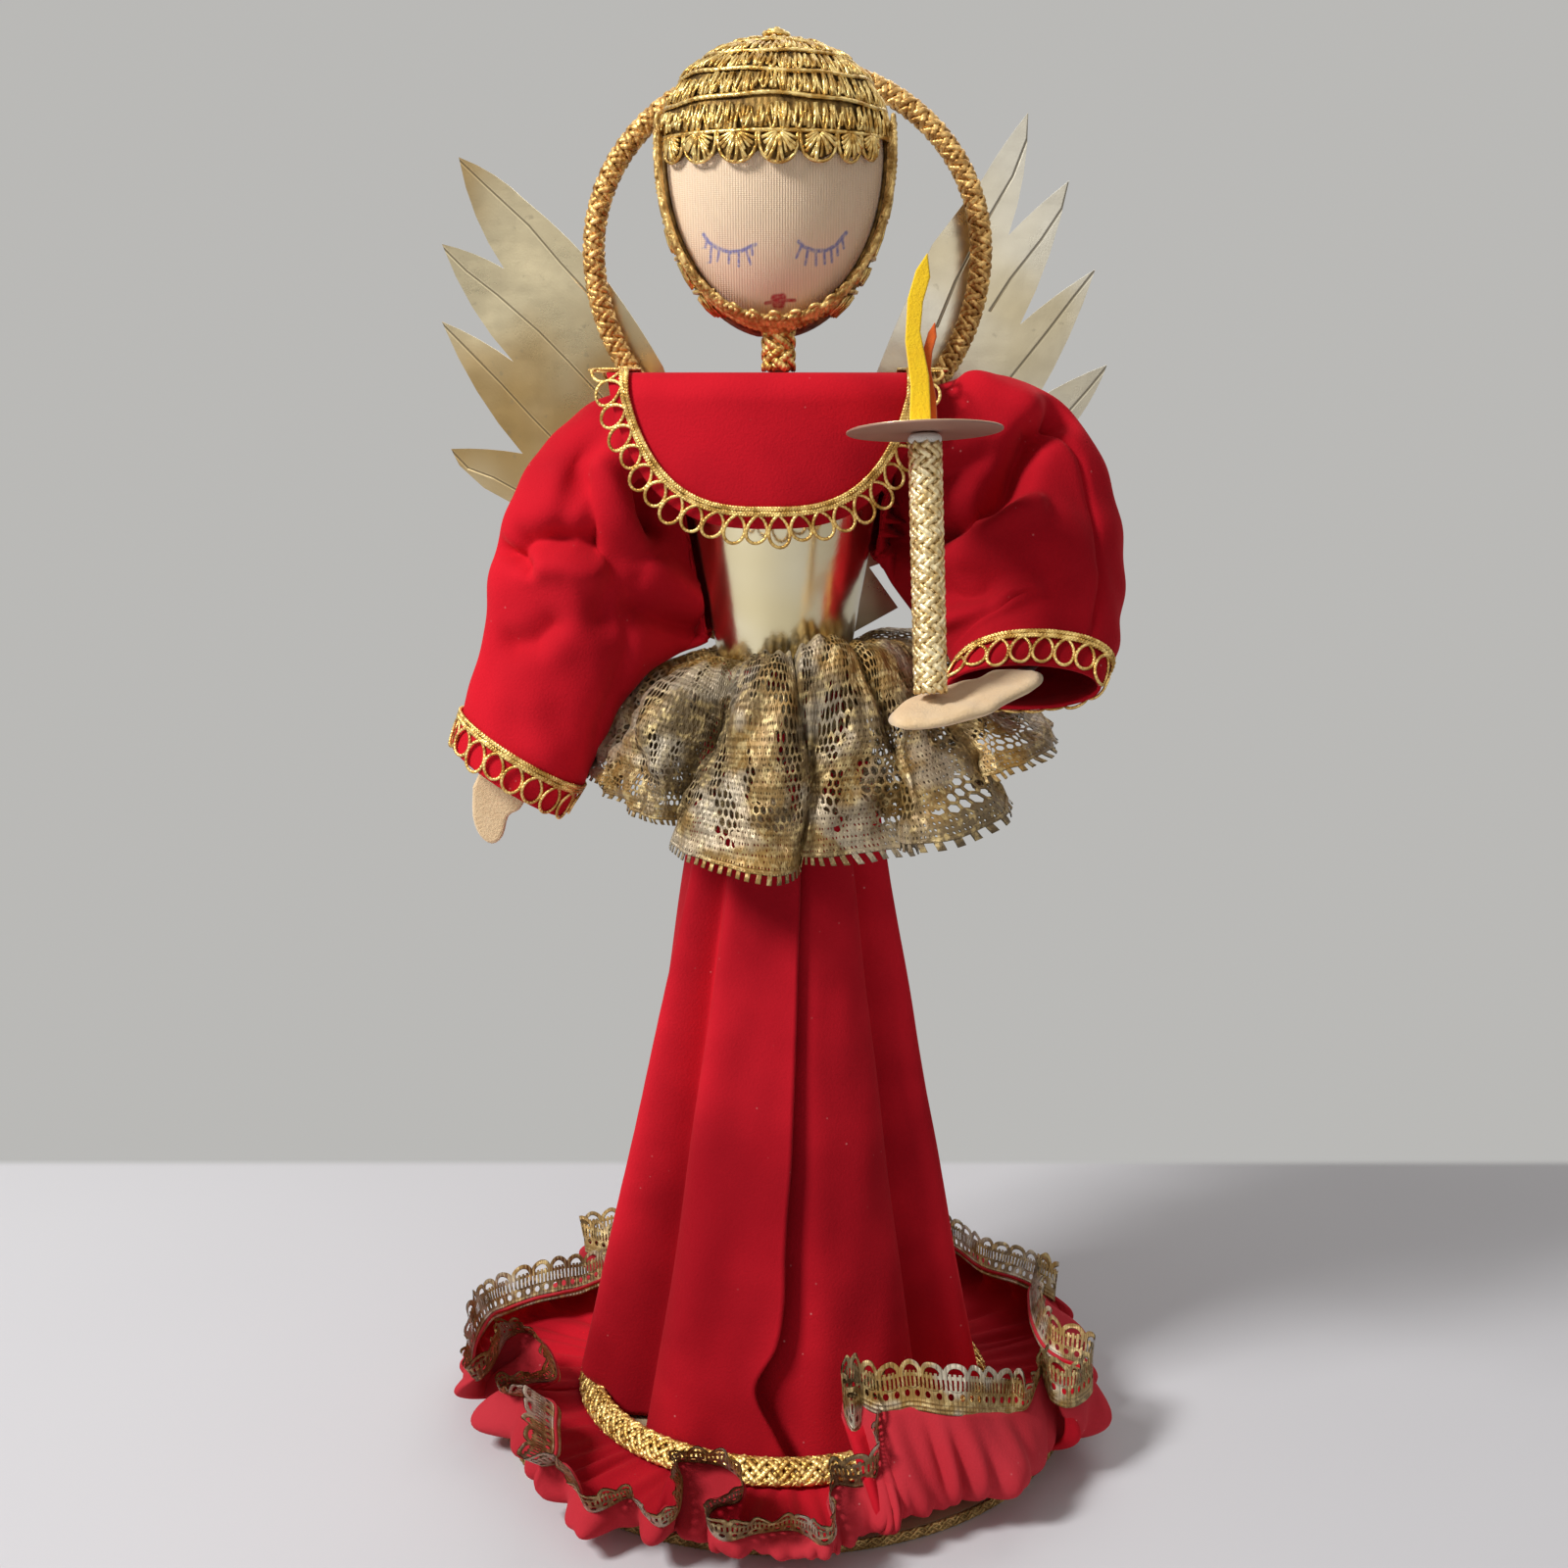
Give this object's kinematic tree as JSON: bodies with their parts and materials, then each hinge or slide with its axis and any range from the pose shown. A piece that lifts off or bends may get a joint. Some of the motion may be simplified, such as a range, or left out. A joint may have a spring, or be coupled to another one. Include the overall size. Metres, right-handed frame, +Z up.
{
  "type": "tabletop angel figure",
  "caption": "Tabletop angel in a red velvet gown with gold foil bodice and wings, braid halo, lace trim and a candle held in one hand.",
  "frame": {"origin": "centre of the base disc's underside", "axes": "+Z up, the front faces -Y, the angel's right hand is at -X"},
  "size_m": [0.201, 0.1935, 0.4015],
  "materials": {
    "card": "matt brown card",
    "velvet_red": "short pile velvet",
    "gold_lace": "antique gold lace, tarnished",
    "gold_braid": "woven metallic thread",
    "antique_gold": "dull woven metallic thread",
    "bright_gold": "pale woven metallic thread",
    "gold_foil": "champagne gold foil on card",
    "wire": "plain wire",
    "felt_cream": "wool felt",
    "felt_yellow": "wool felt",
    "felt_orange": "wool felt",
    "wadding": "cotton wadding",
    "foam": "light foam",
    "flesh_jersey": "fine ribbed jersey",
    "stick_wood": "plain stick"
  },
  "bodies": {
    "root": {"base_disc": "card", "base_rim_braid": "antique_gold", "base_ruffle": "velvet_red", "ruffle_lace": "gold_lace", "hem_braid": "bright_gold", "skirt_cone": "card", "skirt": "velvet_red", "bodice_cone": "gold_foil", "bodice_top": "card", "yoke": "velvet_red", "yoke_trim": "gold_braid", "peplum_lace": "gold_lace", "shoulder_wire": "wire", "halo": "gold_braid", "right_wing": "gold_foil", "left_wing": "gold_foil"},
    "head": {"head_core": "foam", "face_cover": "flesh_jersey", "hair_cap": "gold_braid", "hair_fringe": "gold_braid", "face_braid": "gold_braid", "hair_knot": "gold_braid", "neck_stick": "stick_wood", "neck_braid": "gold_braid"},
    "right_arm": {"right_sleeve": "velvet_red", "right_cuff_trim": "gold_braid", "right_hand": "felt_cream", "right_arm_wire": "wire"},
    "left_arm": {"left_sleeve": "velvet_red", "left_cuff_trim": "gold_braid", "left_hand": "felt_cream", "left_arm_wire": "wire", "candle_core": "wadding", "candle_braid": "bright_gold", "drip_pan": "gold_foil", "flame_yellow": "felt_yellow", "flame_orange": "felt_orange"}
  },
  "joints": [
    {"name": "head_turn", "type": "hinge", "parent": "root", "child": "head", "pos_m": [-0.0015, -0.006, 0.302], "axis": [0, 0, 1], "range_deg": [-30, 30]},
    {"name": "right_arm_raise", "type": "hinge", "parent": "root", "child": "right_arm", "pos_m": [-0.03198, 0, 0.3043], "axis": [0, 1, 0], "range_deg": [0, 15]},
    {"name": "left_arm_raise", "type": "hinge", "parent": "root", "child": "left_arm", "pos_m": [0.03198, 0, 0.3043], "axis": [0, -1, 0], "range_deg": [0, 12]}
  ]
}
